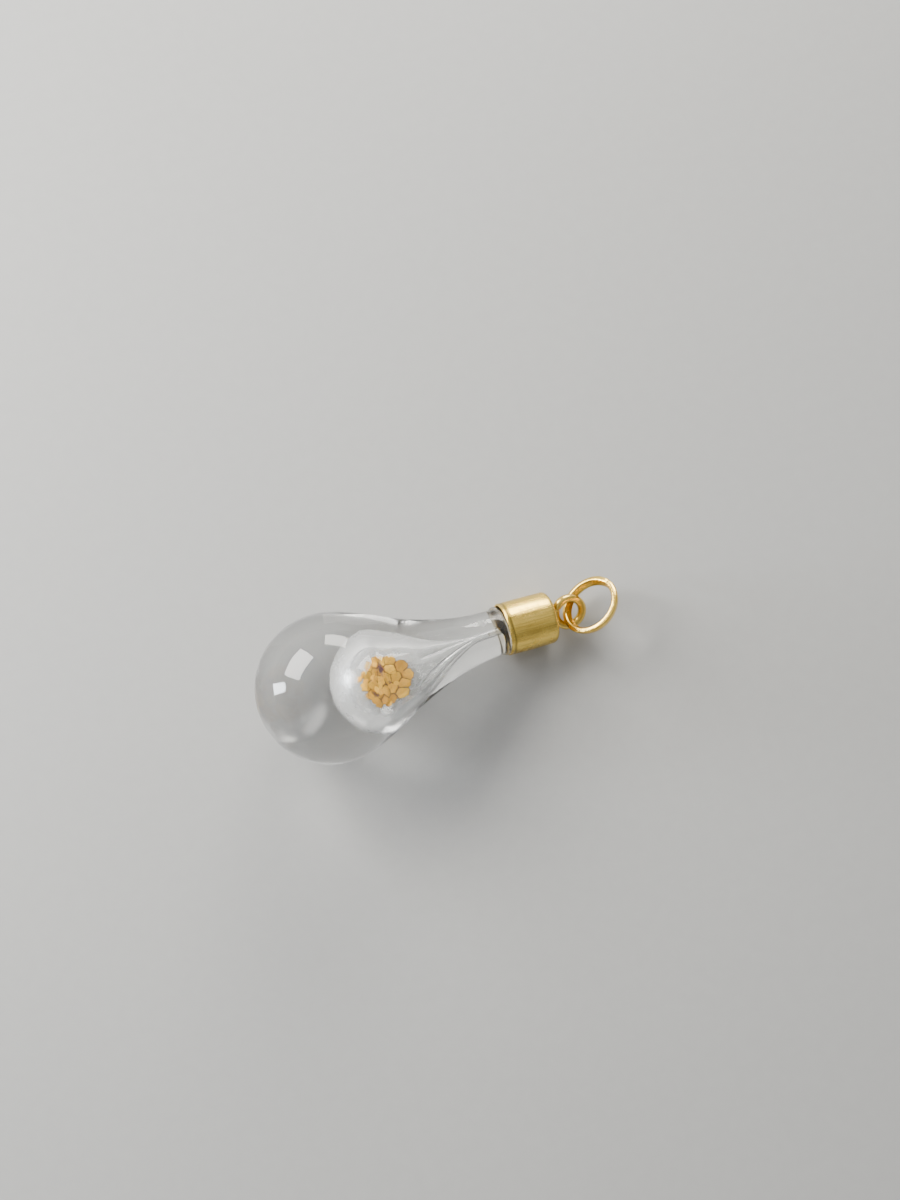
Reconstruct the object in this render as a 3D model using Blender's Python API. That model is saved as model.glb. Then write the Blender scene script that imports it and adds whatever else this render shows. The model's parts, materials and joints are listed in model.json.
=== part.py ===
"""A glass teardrop pendant vial that holds gold flakes, lying on its side.

The vial is turned about its own X axis: bulb towards -X, cap, eye and jump ring towards +X. It lies on
the plane Z = 0, on the bulb and the cap's rim, so its axis runs down towards the cap. All sizes below
are in millimetres.
"""

import math
import random

import bmesh
import bpy
import numpy as np
from mathutils import Vector

MM = 0.001

# Glass: outside
BULB_R = 6.0
SPHERE_END_X = 1.8
SHOULDER = [
    (3.2, 5.22), (4.75, 4.56), (6.45, 3.73), (8.1, 3.08),
    (9.85, 2.53), (11.3, 2.18), (12.7, 1.98), (14.3, 1.84),
]
NECK_MIDDLE = (15.2, 1.76)
NECK_END_X = 17.2
NECK_END_R = 1.68
NECK_EDGE = 0.15

# Glass: air chamber, funnel and filling bore. The chamber lies to one side, and the funnel leads back
CHAMBER_X = 2.78
CHAMBER_R = 2.83
CHAMBER_END_X = 3.7
CHAMBER_SIDE = -0.5
FUNNEL = [(5.2, 2.2), (6.3, 1.84), (7.4, 1.43), (8.5, 1.04), (9.8, 0.63), (10.9, 0.38)]
BORE_START_X = 12.3
BORE_R = 0.2
CENTRING_START_X = 6.5
CENTRING_END_X = 13.0

# Resin plug in the bore
PLUG_START_X = 13.4
PLUG_END_X = 16.9
PLUG_HOLLOW = 0.06
FIT_GAP = 0.02

# Cap
CAP_START_X = 14.85
CAP_LENGTH = 4.2
CAP_R = 2.15
CAP_BORE_R = 1.95
CAP_END_WALL = 0.35
CAP_CORNER_R = 0.35
CAP_RIM_EDGE = 0.05
CAP_HOLE_R = 0.4
CAP_SEAT_DEPTH = 0.04
CAP_SEAT_R = 0.92
CAP_LEAN_DEG = -3.0

# Adhesive: a sleeve inside the cap, and the bead squeezed out in front of its rim
FILLET_START_X = 14.2
FILLET_EDGE = 0.09
FILLET_RISE = 0.3
FILLET_R = 1.99
FILLET_TO_RIM = 0.2
SLEEVE_R = 1.82
SLEEVE_END_X = 16.9

# Eye, with the peg that goes through the cap's end
EYE_X = 20.69
EYE_R = 1.17
EYE_WIRE_R = 0.33
EYE_ROLL_DEG = 33.7
PEG_START_X = 17.9

# Solder between eye and cap
SOLDER_R = 0.85
SOLDER_HEIGHT = 0.34
SOLDER_CLEARANCE = 0.05

# Jump ring of flattened wire, its inner face leaning outwards. Its centre is given from the eye's, and
# its two ends meet with a step at the seam
RING_R = 2.25
RING_BAND_HALF_OUT = 0.25
RING_BAND_HALF_UP = 0.37
RING_BAND_LEAN_DEG = 22.0
RING_OFFSET = (1.493, -0.243, 1.434)
RING_NORMAL = (-0.592, 0.438, 0.676)
RING_SEAM_DEG = 345.0
RING_SEAM_GAP = 0.07
RING_SEAM_STEP = 0.14

# Gold flakes: a heap on the chamber's floor. A layer is half length, half width, pitch, height and
# drop per square mm; a flake that doesn't fit whole is tried at the smaller sizes
FLAKE_LAYERS = [(2.9, 2.9, 0.92, -0.7, 0.05), (2.5, 2.5, 1.1, -1.25, 0.04), (1.9, 1.8, 1.15, -1.8, 0.02)]
FLAKE_SIZES = (1.0, 0.8, 0.6)
FLAKE_THICKNESS = 0.11
FLAKE_CROWN = 0.9
FLAKE_TILT = 0.2
FLAKE_GAP = 0.035
FLAKE_JITTER = 0.16
HEAP_ROLL_DEG = 8.0
HEAP_SHIFT_X = 0.1
WALL_CLEARANCE = 0.03
SEED = 11

# Fineness of the round pieces
TURN_STEPS = 48
SMALL_STEPS = 32
WIRE_SIDES = 12
EYE_STEPS = 40
RING_STEPS = 72


def clear_scene():
    for old in list(bpy.data.objects):
        bpy.data.objects.remove(old, do_unlink=True)


def material(name, colour, roughness, metallic=0.0, transmission=0.0):
    """A Principled material of one finish."""
    mat = bpy.data.materials.new(name)
    mat.use_nodes = True
    shader = mat.node_tree.nodes["Principled BSDF"]
    shader.inputs["Base Color"].default_value = (*colour, 1.0)
    shader.inputs["Roughness"].default_value = roughness
    shader.inputs["Metallic"].default_value = metallic
    shader.inputs["Transmission Weight"].default_value = transmission
    mat.diffuse_color = (*colour, 1.0)
    return mat


def empty(name, location, parent=None, rotation=(0.0, 0.0, 0.0)):
    guide = bpy.data.objects.new(name, None)
    guide.empty_display_size = MM
    guide.location = location
    guide.rotation_euler = rotation
    guide.parent = parent
    bpy.context.collection.objects.link(guide)
    return guide


def add_object(name, mesh, mat, parent):
    """Links a mesh as a named piece; round faces are shaded smooth up to 35 degrees."""
    mesh.materials.append(mat)
    mesh.shade_smooth()
    mesh.set_sharp_from_angle(angle=math.radians(35))
    piece = bpy.data.objects.new(name, mesh)
    piece.parent = parent
    bpy.context.collection.objects.link(piece)
    return piece


def smooth_through(points, start_slope, end_slope, steps):
    """A cubic Hermite curve r(x) through the points, with the given slopes at its two ends."""
    x, r = np.array(points).T
    slope = np.gradient(r, x)
    slope[0] = start_slope
    slope[-1] = end_slope
    out = []
    for i in range(len(x) - 1):
        t = np.linspace(0.0, 1.0, steps, endpoint=False)
        h = x[i + 1] - x[i]
        curve = (
            (2 * t**3 - 3 * t**2 + 1) * r[i]
            + (t**3 - 2 * t**2 + t) * h * slope[i]
            + (3 * t**2 - 2 * t**3) * r[i + 1]
            + (t**3 - t**2) * h * slope[i + 1]
        )
        out += list(zip(x[i] + h * t, curve))
    out.append((x[-1], r[-1]))
    return out


def arc(centre_x, centre_r, radius, start_deg, end_deg, steps):
    """Points on a circle in the (x, r) half plane, with 0 degrees towards +x."""
    angles = np.radians(np.linspace(start_deg, end_deg, steps))
    return [(centre_x + radius * math.cos(a), centre_r + radius * math.sin(a)) for a in angles]


def turned(name, profile, steps):
    """Turns a closed (x, r) outline in mm about the X axis; ends that lie on the axis become poles.

    A point may have a third value, which moves its ring that far along Y."""
    bm = bmesh.new()
    angles = [2 * math.pi * k / steps for k in range(steps)]
    rings = []
    for x, r, *moved in profile:
        side = sum(moved)
        if r < 1e-6:
            rings.append([bm.verts.new((x * MM, side * MM, 0.0))])
            continue
        ring = [Vector((x, side + r * math.cos(a), r * math.sin(a))) * MM for a in angles]
        rings.append([bm.verts.new(point) for point in ring])
    pairs = list(zip(rings, rings[1:]))
    if len(rings[0]) > 1:
        pairs.append((rings[-1], rings[0]))
    for low, high in pairs:
        for k in range(steps):
            j = (k + 1) % steps
            corners = [low[k % len(low)], low[j % len(low)], high[j % len(high)], high[k % len(high)]]
            unique = list(dict.fromkeys(corners))
            if len(unique) > 2:
                bm.faces.new(unique)
    bmesh.ops.recalc_face_normals(bm, faces=bm.faces)
    mesh = bpy.data.meshes.new(name)
    bm.to_mesh(mesh)
    bm.free()
    return mesh


def round_section(radius):
    """The outline of a round wire, as (out, up) pairs."""
    angles = [2 * math.pi * k / WIRE_SIDES for k in range(WIRE_SIDES)]
    return [(radius * math.cos(a), radius * math.sin(a)) for a in angles]


def band_section(half_out, half_up, lean_deg):
    """The outline of a wire flattened at its sides, its top leaning out by the given angle."""
    lean = math.radians(lean_deg)
    angles = [2 * math.pi * (k + 0.5) / WIRE_SIDES for k in range(WIRE_SIDES)]
    flat = [
        (half_out * math.cos(a), half_out * math.sin(a) + math.copysign(half_up - half_out, math.sin(a)))
        for a in angles
    ]
    return [
        (out * math.cos(lean) + up * math.sin(lean), up * math.cos(lean) - out * math.sin(lean))
        for out, up in flat
    ]


def wire(name, centres, section, closed, up):
    """A wire carried along a path of points in mm; up is the normal of the path's plane."""
    path = np.array(centres) * MM
    if closed:
        tangent = np.roll(path, -1, axis=0) - np.roll(path, 1, axis=0)
    else:
        tangent = np.gradient(path, axis=0)
    tangent /= np.linalg.norm(tangent, axis=1)[:, None]
    side = np.cross(tangent, up)
    side /= np.linalg.norm(side, axis=1)[:, None]
    lift = np.cross(side, tangent)
    bm = bmesh.new()
    rings = []
    for point, outwards, upwards in zip(path, side, lift):
        around = [(a * outwards + b * upwards) * MM for a, b in section]
        rings.append([bm.verts.new(point + offset) for offset in around])
    pairs = list(zip(rings, rings[1:]))
    if closed:
        pairs.append((rings[-1], rings[0]))
    else:
        bm.faces.new(rings[0])
        bm.faces.new(rings[-1])
    for low, high in pairs:
        for k in range(len(section)):
            j = (k + 1) % len(section)
            bm.faces.new((low[k], low[j], high[j], high[k]))
    bmesh.ops.recalc_face_normals(bm, faces=bm.faces)
    mesh = bpy.data.meshes.new(name)
    bm.to_mesh(mesh)
    bm.free()
    return mesh


def boolean(piece, cutter, operation):
    modifier = piece.modifiers.new(operation.lower(), "BOOLEAN")
    modifier.operation = operation
    modifier.solver = "EXACT"
    modifier.object = cutter
    cutter.hide_render = True
    cutter.display_type = "WIRE"


def chamber_outline():
    """The air chamber and its funnel, from the chamber's pole to the filling bore."""
    end_deg = math.degrees(math.acos((CHAMBER_END_X - CHAMBER_X) / CHAMBER_R))
    chamber = arc(CHAMBER_X, 0.0, CHAMBER_R, 180.0, end_deg, 15)
    slope = -(CHAMBER_END_X - CHAMBER_X) / chamber[-1][1]
    return chamber + smooth_through([chamber[-1]] + FUNNEL + [(BORE_START_X, BORE_R)], slope, 0.0, 3)[1:]


def chamber_side(x):
    """How far the middle of the chamber, funnel or bore lies from the vial's axis at x."""
    t = min(1.0, max(0.0, (x - CENTRING_START_X) / (CENTRING_END_X - CENTRING_START_X)))
    return CHAMBER_SIDE * (1.0 - t * t * (3.0 - 2.0 * t))


def make_glass(parent):
    """The whole glass: outside from the bulb's pole to the neck's end, then back along bore and chamber."""
    pole_to_shoulder = math.degrees(math.acos(SPHERE_END_X / BULB_R))
    bulb = arc(0.0, 0.0, BULB_R, 180.0, pole_to_shoulder, 20)
    sphere_slope = -SPHERE_END_X / bulb[-1][1]
    neck = smooth_through([bulb[-1]] + SHOULDER, sphere_slope, -0.07, 3)
    end = [NECK_MIDDLE, (NECK_END_X - NECK_EDGE, NECK_END_R), (NECK_END_X, NECK_END_R - NECK_EDGE)]
    inside = [(NECK_END_X, BORE_R), (CENTRING_END_X, BORE_R)] + chamber_outline()[::-1]
    outline = bulb + neck[1:] + end + [(x, r, chamber_side(x)) for x, r in inside]
    outline[0] = (-BULB_R, 0.0)
    outline[-1] = (CHAMBER_X - CHAMBER_R, 0.0, CHAMBER_SIDE)
    glass = material("clear_glass", (0.95, 0.97, 0.97), 0.02, 0.0, 1.0)
    return add_object("glass_vial", turned("glass_vial", outline, TURN_STEPS), glass, parent)


def make_plug(parent):
    """The thread of resin that closes the filling bore, with a hollow front where it shrank."""
    r = BORE_R - FIT_GAP
    outline = [(PLUG_START_X + PLUG_HOLLOW, 0.0), (PLUG_START_X, r), (PLUG_END_X, r), (PLUG_END_X, 0.0)]
    resin = material("clear_resin", (0.93, 0.90, 0.80), 0.08, 0.0, 0.9)
    return add_object("neck_plug", turned("neck_plug", outline, SMALL_STEPS), resin, parent)


def neck_radius(x):
    """The glass neck's outer radius under the adhesive."""
    stations = [SHOULDER[-2], SHOULDER[-1], NECK_MIDDLE, (NECK_END_X - NECK_EDGE, NECK_END_R)]
    xs, rs = zip(*stations)
    return float(np.interp(x, xs, rs))


def make_adhesive(parent):
    """The glue sleeve between neck and cap, with the bead squeezed out in front of the cap's rim."""
    inner = [(x, neck_radius(x) + FIT_GAP) for x in np.linspace(SLEEVE_END_X, FILLET_START_X, 7)]
    outer = [
        (FILLET_START_X + FILLET_EDGE, neck_radius(FILLET_START_X) + FILLET_EDGE),
        (FILLET_START_X + FILLET_RISE, FILLET_R),
        (CAP_START_X - FILLET_TO_RIM, FILLET_R),
        (CAP_START_X - FILLET_TO_RIM, SLEEVE_R),
        (SLEEVE_END_X, SLEEVE_R),
    ]
    glue = material("clear_adhesive", (0.86, 0.80, 0.68), 0.15, 0.0, 0.8)
    return add_object("cap_adhesive", turned("cap_adhesive", inner + outer, SMALL_STEPS), glue, parent)


def make_cap(parent):
    """A thin-walled cup, open towards the glass; its closed end has a shallow seat pierced for the peg."""
    end = CAP_LENGTH
    corner = arc(end - CAP_CORNER_R, CAP_R - CAP_CORNER_R, CAP_CORNER_R, 90.0, 0.0, 6)
    outline = [(0.0, CAP_BORE_R), (0.0, CAP_R - CAP_RIM_EDGE), (CAP_RIM_EDGE, CAP_R)]
    outline += corner
    outline += [(end, CAP_SEAT_R), (end - CAP_SEAT_DEPTH, CAP_SEAT_R), (end - CAP_SEAT_DEPTH, CAP_HOLE_R)]
    outline += [(end - CAP_END_WALL, CAP_HOLE_R), (end - CAP_END_WALL, CAP_BORE_R)]
    brass = material("brushed_gold_brass", (0.83, 0.66, 0.30), 0.32, 1.0)
    return add_object("end_cap", turned("end_cap", outline, TURN_STEPS), brass, parent)


def eye_frame():
    """The eye's centre from the cap's rim, the direction across it, and its normal."""
    roll = math.radians(EYE_ROLL_DEG)
    centre = Vector((EYE_X - CAP_START_X, 0.0, 0.0))
    across = Vector((0.0, math.cos(roll), math.sin(roll)))
    return centre, across, Vector((1.0, 0.0, 0.0)).cross(across)


def eye_path(steps):
    centre, across, _ = eye_frame()
    along = Vector((1.0, 0.0, 0.0))
    angles = [2 * math.pi * k / steps for k in range(steps)]
    return [centre + EYE_R * (math.cos(a) * along + math.sin(a) * across) for a in angles]


def make_eye(parent):
    """A wire ring with a peg at its root, the two joined into one piece."""
    normal = np.array(eye_frame()[2])
    gold = material("gold_wire", (0.86, 0.68, 0.33), 0.2, 1.0)
    mesh = wire("eye_loop", eye_path(EYE_STEPS), round_section(EYE_WIRE_R), True, normal)
    eye = add_object("eye_loop", mesh, gold, parent)
    start = PEG_START_X - CAP_START_X
    stop = EYE_X - EYE_R - CAP_START_X
    peg_profile = [(start, 0.0), (start, EYE_WIRE_R), (stop, EYE_WIRE_R), (stop, 0.0)]
    peg = add_object("eye_peg_guide", turned("eye_peg_guide", peg_profile, WIRE_SIDES), gold, parent)
    boolean(eye, peg, "UNION")
    return eye


def make_solder(parent):
    """A low bead on the cap's end, cut back so that it stays clear of the eye and its peg."""
    base = CAP_LENGTH - CAP_SEAT_DEPTH + FIT_GAP
    outline = [(base, 0.0), (base, SOLDER_R)]
    for angle in (20, 40, 60, 80):
        a = math.radians(angle)
        outline.append((base + SOLDER_HEIGHT * math.sin(a), SOLDER_R * math.cos(a)))
    outline.append((base + SOLDER_HEIGHT, 0.0))
    solder = material("solder", (0.72, 0.60, 0.36), 0.4, 1.0)
    bead = add_object("solder_bead", turned("solder_bead", outline, SMALL_STEPS), solder, parent)
    normal = np.array(eye_frame()[2])
    hole_r = EYE_WIRE_R + SOLDER_CLEARANCE
    loop = wire("solder_loop_cutter", eye_path(EYE_STEPS), round_section(hole_r), True, normal)
    boolean(bead, add_object("solder_loop_cutter", loop, solder, parent), "DIFFERENCE")
    low, high = base - SOLDER_R, base + SOLDER_R
    hole_profile = [(low, 0.0), (low, hole_r), (high, hole_r), (high, 0.0)]
    hole = turned("solder_hole_cutter", hole_profile, WIRE_SIDES)
    boolean(bead, add_object("solder_hole_cutter", hole, solder, parent), "DIFFERENCE")
    return bead


def make_jump_ring(parent):
    """An open ring of flattened wire whose two ends meet with a small step at the seam."""
    normal = Vector(RING_NORMAL).normalized()
    first = normal.orthogonal().normalized()
    second = normal.cross(first)
    gap = RING_SEAM_GAP / RING_R
    angles = np.radians(RING_SEAM_DEG) + np.linspace(gap / 2, 2 * math.pi - gap / 2, RING_STEPS + 1)
    lifts = np.linspace(-0.5, 0.5, len(angles)) * RING_SEAM_STEP
    centre = Vector(RING_OFFSET)
    path = [
        centre + RING_R * (math.cos(a) * first + math.sin(a) * second) + float(lift) * normal
        for a, lift in zip(angles, lifts)
    ]
    gold = material("gold_ring_wire", (0.88, 0.70, 0.34), 0.22, 1.0)
    section = band_section(RING_BAND_HALF_OUT, RING_BAND_HALF_UP, RING_BAND_LEAN_DEG)
    mesh = wire("jump_ring", path, section, False, np.array(normal))
    return add_object("jump_ring", mesh, gold, parent)


def layer_centres(half_length, half_width, pitch, chance):
    """Points of a triangular grid inside an ellipse, each moved a little at random."""
    rows = int(half_length / pitch) + 2
    points = []
    for row in range(-rows, rows + 1):
        for column in range(-rows, rows + 1):
            x = (column + 0.5 * (row % 2)) * pitch
            y = row * pitch * math.sqrt(3) / 2
            if math.hypot(x / half_length, y / half_width) < 1.0:
                x += chance.uniform(-1, 1) * FLAKE_JITTER
                y += chance.uniform(-1, 1) * FLAKE_JITTER
                points.append(Vector((x, y)))
    return points


def clipped(polygon, point, normal):
    """The part of a convex polygon behind the line through point with the given normal."""
    out = []
    for here, there in zip(polygon, polygon[1:] + polygon[:1]):
        a = (here - point).dot(normal)
        b = (there - point).dot(normal)
        if a <= 0:
            out.append(here)
        if a * b < 0:
            out.append(here.lerp(there, a / (a - b)))
    return out


def flake_outline(centres, index, pitch):
    """The cell of one centre: what is nearer to it than to its neighbours, less half the gap."""
    centre = centres[index]
    reach = 0.62 * pitch
    angles = [k * math.pi / 4 for k in range(8)]
    cell = [centre + reach * Vector((math.cos(a), math.sin(a))) for a in angles]
    for other in centres:
        away = other - centre
        if 0 < away.length < 2.5 * pitch:
            middle = centre + away / 2 - away.normalized() * FLAKE_GAP / 2
            cell = clipped(cell, middle, away.normalized())
    return cell


def fits_chamber(cell, centre, height, tilt):
    """Whether a flake's lower corners all keep clear of the chamber's wall."""
    xs, rs = zip(*chamber_outline())
    for point in cell:
        low = height + tilt.dot(point - centre) - FLAKE_THICKNESS / 2
        wall = float(np.interp(point.x + CHAMBER_X + HEAP_SHIFT_X, xs, rs))
        if math.hypot(point.y, low) > wall - WALL_CLEARANCE:
            return False
    return True


def fitted(cell, centre, height, tilt):
    """The cell at the largest size at which the flake clears the chamber's wall, or None."""
    for size in FLAKE_SIZES:
        smaller = [centre + (point - centre) * size for point in cell]
        if fits_chamber(smaller, centre, height, tilt):
            return smaller
    return None


def flake_mesh(name, cell, centre, height, tilt):
    """A thin plate over the cell, its top and bottom tilted together and its middle a little raised."""
    bm = bmesh.new()

    def corner(point, lift):
        local = point - centre
        return bm.verts.new(Vector((point.x, point.y, height + tilt.dot(local) + lift)) * MM)

    top = [corner(p, FLAKE_THICKNESS / 2) for p in cell]
    bottom = [corner(p, -FLAKE_THICKNESS / 2) for p in cell]
    crown = corner(centre, FLAKE_THICKNESS * FLAKE_CROWN)
    bm.faces.new(bottom[::-1])
    for k in range(len(cell)):
        j = (k + 1) % len(cell)
        bm.faces.new((top[k], top[j], crown))
        bm.faces.new((bottom[k], bottom[j], top[j], top[k]))
    bmesh.ops.recalc_face_normals(bm, faces=bm.faces)
    mesh = bpy.data.meshes.new(name)
    bm.to_mesh(mesh)
    bm.free()
    return mesh


def make_flakes(parent):
    """Layers of thin tilted plates, fitted side by side, in a heap on the chamber's floor."""
    chance = random.Random(SEED)
    gold = material("gold_flake", (1.0, 0.68, 0.26), 0.35, 1.0)
    number = 0
    for half_length, half_width, pitch, height, drop in FLAKE_LAYERS:
        centres = layer_centres(half_length, half_width, pitch, chance)
        for index, centre in enumerate(centres):
            tilt = Vector((chance.uniform(-1, 1), chance.uniform(-1, 1))) * FLAKE_TILT
            level = height - drop * centre.length_squared
            cell = fitted(flake_outline(centres, index, pitch), centre, level, tilt)
            if cell is None:
                continue
            number += 1
            name = f"gold_flake_{number:02d}"
            flake = add_object(name, flake_mesh(name, cell, centre, level, tilt), gold, parent)
            flake.location = (HEAP_SHIFT_X * MM, 0.0, 0.0)


def lying_tilt():
    """How far the axis turns down, in radians, when bulb and cap rim both touch the plane below."""
    contact_x = CAP_START_X + CAP_LENGTH - CAP_CORNER_R * 0.6
    tilt = 0.2
    for _ in range(40):
        tilt = math.asin((BULB_R - CAP_R * math.cos(tilt)) / contact_x)
    return tilt


def stand_on_origin(root):
    """Moves the whole part so that its box stands on the origin, at the middle of its base."""
    bpy.context.view_layer.update()
    low = Vector((math.inf,) * 3)
    high = Vector((-math.inf,) * 3)
    for piece in bpy.context.collection.objects:
        if piece.type == "MESH" and not piece.hide_render:
            for vertex in piece.data.vertices:
                point = piece.matrix_world @ vertex.co
                low = Vector(map(min, low, point))
                high = Vector(map(max, high, point))
    middle = (low + high) / 2
    root.location = root.location - Vector((middle.x, middle.y, low.z))


def main():
    clear_scene()
    root = empty("vial_axis", (0.0, 0.0, BULB_R * MM), rotation=(0.0, lying_tilt(), 0.0))
    make_glass(root)
    make_plug(root)
    make_adhesive(root)
    lean = math.radians(CAP_LEAN_DEG)
    cap_rim = empty("cap_rim", (CAP_START_X * MM, 0.0, 0.0), root, (0.0, 0.0, lean))
    make_cap(cap_rim)
    make_eye(cap_rim)
    make_solder(cap_rim)
    ring_pivot = empty("ring_pivot", Vector(eye_frame()[0]) * MM, cap_rim)
    make_jump_ring(ring_pivot)
    roll = math.radians(HEAP_ROLL_DEG)
    heap = empty("heap_axis", Vector((CHAMBER_X, CHAMBER_SIDE, 0.0)) * MM, root, (roll, 0.0, 0.0))
    make_flakes(heap)
    stand_on_origin(root)


main()
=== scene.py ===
import json
import math

import bpy
import numpy as np
from mathutils import Matrix, Vector


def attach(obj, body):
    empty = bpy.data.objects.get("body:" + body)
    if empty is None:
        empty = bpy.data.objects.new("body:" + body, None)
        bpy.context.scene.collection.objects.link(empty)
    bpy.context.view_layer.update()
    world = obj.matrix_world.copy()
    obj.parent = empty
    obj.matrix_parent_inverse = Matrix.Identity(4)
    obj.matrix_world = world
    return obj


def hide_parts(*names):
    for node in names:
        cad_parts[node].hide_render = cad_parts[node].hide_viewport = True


bl_info = {
    "name": "Gold Flake Vial",
    "version": (1, 0, 0),
    "blender": (4, 5, 0),
    "location": "View3D > Sidebar > Vial",
    "description": "Builds a glass drop vial with a brass cap, a jump ring and gold flakes",
    "category": "Add Mesh",
}

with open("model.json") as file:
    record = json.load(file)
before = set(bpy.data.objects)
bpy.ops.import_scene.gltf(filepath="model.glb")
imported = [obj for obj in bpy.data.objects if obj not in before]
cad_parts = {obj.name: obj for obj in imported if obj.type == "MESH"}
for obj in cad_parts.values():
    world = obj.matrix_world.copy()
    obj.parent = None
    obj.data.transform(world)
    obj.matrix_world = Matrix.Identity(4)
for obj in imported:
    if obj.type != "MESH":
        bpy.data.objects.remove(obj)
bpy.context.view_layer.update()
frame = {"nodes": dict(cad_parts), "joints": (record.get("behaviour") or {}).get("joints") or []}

MM = 0.001


# ------------------------------------------------------------
# Where things are: the vial's, the cap's and the heap's own frames, taken from the joints

# Along the vial's axis, from the bulb's middle, in mm, as in the CAD source
CHAMBER_X = 2.78
CHAMBER_SIDE = -0.5
CAP_START_X = 14.85
CAP_LEAN_DEG = -3.0
HEAP_ROLL_DEG = 8.0


def joint(name):
    return next(j for j in frame["joints"] if j["name"] == name)


def axes_from(x_axis, near_y):
    """Three unit rows at right angles: the first is x_axis and the second lies near near_y."""
    x = np.array(x_axis, float) / np.linalg.norm(x_axis)
    y = np.array(near_y, float) - np.dot(near_y, x) * x
    y /= np.linalg.norm(y)
    return np.array([x, y, np.cross(x, y)])


def turned_axes(axes, about, degrees):
    """The rows turned about one of themselves, 0 for X, 1 for Y and 2 for Z."""
    c, s = math.cos(math.radians(degrees)), math.sin(math.radians(degrees))
    first, second = (about + 1) % 3, (about + 2) % 3
    turned = axes.copy()
    turned[first] = c * axes[first] + s * axes[second]
    turned[second] = c * axes[second] - s * axes[first]
    return turned


VIAL_AXES = axes_from(joint("heap_roll")["axis"], (0.0, 1.0, 0.0))
HEAP_ORIGIN = np.array(joint("heap_roll")["pos_m"])
VIAL_ORIGIN = HEAP_ORIGIN - np.array([CHAMBER_X, CHAMBER_SIDE, 0.0]) * MM @ VIAL_AXES
HEAP_AXES = turned_axes(VIAL_AXES, 0, HEAP_ROLL_DEG)
CAP_AXES = turned_axes(VIAL_AXES, 2, CAP_LEAN_DEG)
CAP_ORIGIN = VIAL_ORIGIN + CAP_START_X * MM * VIAL_AXES[0]
EYE_CENTRE = np.array(joint("ring_swing")["pos_m"])
EYE_ACROSS = np.array(joint("ring_swing")["axis"])
EYE_NORMAL = np.cross(CAP_AXES[0], EYE_ACROSS)


# ------------------------------------------------------------
# Mesh helpers

def quads(rows, columns, wrap_rows=False, wrap_columns=False):
    """The four corner numbers of each face of a grid whose points are stored row by row."""
    index = np.arange(rows * columns).reshape(rows, columns)
    if wrap_rows:
        index = np.vstack([index, index[:1]])
    if wrap_columns:
        index = np.hstack([index, index[:, :1]])
    return np.stack([index[:-1, :-1], index[:-1, 1:], index[1:, 1:], index[1:, :-1]], axis=-1).reshape(-1, 4)


def signed_volume(points, faces):
    """Six times the volume inside a closed mesh; it is negative where the faces look inwards."""
    total = 0.0
    for k in range(1, faces.shape[1] - 1):
        a, b, c = points[faces[:, 0]], points[faces[:, k]], points[faces[:, k + 1]]
        total += np.einsum("ij,ij->i", a, np.cross(b, c)).sum()
    return total


def build_mesh(name, points, quad_faces, triangle_faces=None):
    """A mesh from arrays of points, four-cornered faces and, at poles, three-cornered faces."""
    triangles = np.empty((0, 3), int) if triangle_faces is None else triangle_faces
    centred = points - points.mean(0)
    if signed_volume(centred, quad_faces) + signed_volume(centred, triangles) < 0:
        quad_faces, triangles = quad_faces[:, ::-1], triangles[:, ::-1]
    mesh = bpy.data.meshes.new(name)
    mesh.vertices.add(len(points))
    mesh.vertices.foreach_set("co", np.asarray(points, np.float32).ravel())
    corners = np.concatenate([quad_faces.ravel(), triangles.ravel()]).astype(np.int32)
    mesh.loops.add(len(corners))
    mesh.loops.foreach_set("vertex_index", corners)
    sizes = np.concatenate([np.full(len(quad_faces), 4), np.full(len(triangles), 3)])
    starts = np.concatenate([[0], np.cumsum(sizes)[:-1]]).astype(np.int32)
    mesh.polygons.add(len(sizes))
    mesh.polygons.foreach_set("loop_start", starts)
    mesh.update(calc_edges=True)
    mesh.validate()
    mesh.shade_smooth()
    return mesh


def point_values(mesh, name, values):
    """Stores one number for each point of the mesh, for its material to read."""
    stored = mesh.attributes.new(name, "FLOAT", "POINT")
    stored.data.foreach_set("value", np.asarray(values, np.float32).ravel())


def point_vectors(mesh, name, values):
    """Stores one vector for each point of the mesh, for its material to read."""
    stored = mesh.attributes.new(name, "FLOAT_VECTOR", "POINT")
    stored.data.foreach_set("vector", np.asarray(values, np.float32).ravel())


def finish_piece(name, mesh, material, body, slot, *replaced, sharp_deg=None):
    """Links the mesh as a piece that rides on a body and stands for the CAD nodes it replaces."""
    mesh.materials.append(material)
    if sharp_deg is not None:
        mesh.set_sharp_from_angle(angle=math.radians(sharp_deg))
    piece = bpy.data.objects.new(name, mesh)
    bpy.context.scene.collection.objects.link(piece)
    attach(piece, body)
    if replaced:
        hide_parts(*replaced)
    return piece


def hermite(points, steps, start_slope=None, end_slope=None):
    """A smooth r(x) through the points: cubic pieces, each point's slope taken from its neighbours."""
    x, r = np.array(points, float).T
    slope = np.gradient(r, x)
    if start_slope is not None:
        slope[0] = start_slope
    if end_slope is not None:
        slope[-1] = end_slope
    t = np.linspace(0.0, 1.0, steps, endpoint=False)[None, :]
    h = np.diff(x)[:, None]
    r0, r1, m0, m1 = r[:-1, None], r[1:, None], slope[:-1, None], slope[1:, None]
    curve = (2 * t**3 - 3 * t**2 + 1) * r0 + (t**3 - 2 * t**2 + t) * h * m0
    curve = curve + (3 * t**2 - 2 * t**3) * r1 + (t**3 - t**2) * h * m1
    return np.stack([(x[:-1, None] + h * t).ravel(), curve.ravel()], axis=1)


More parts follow.
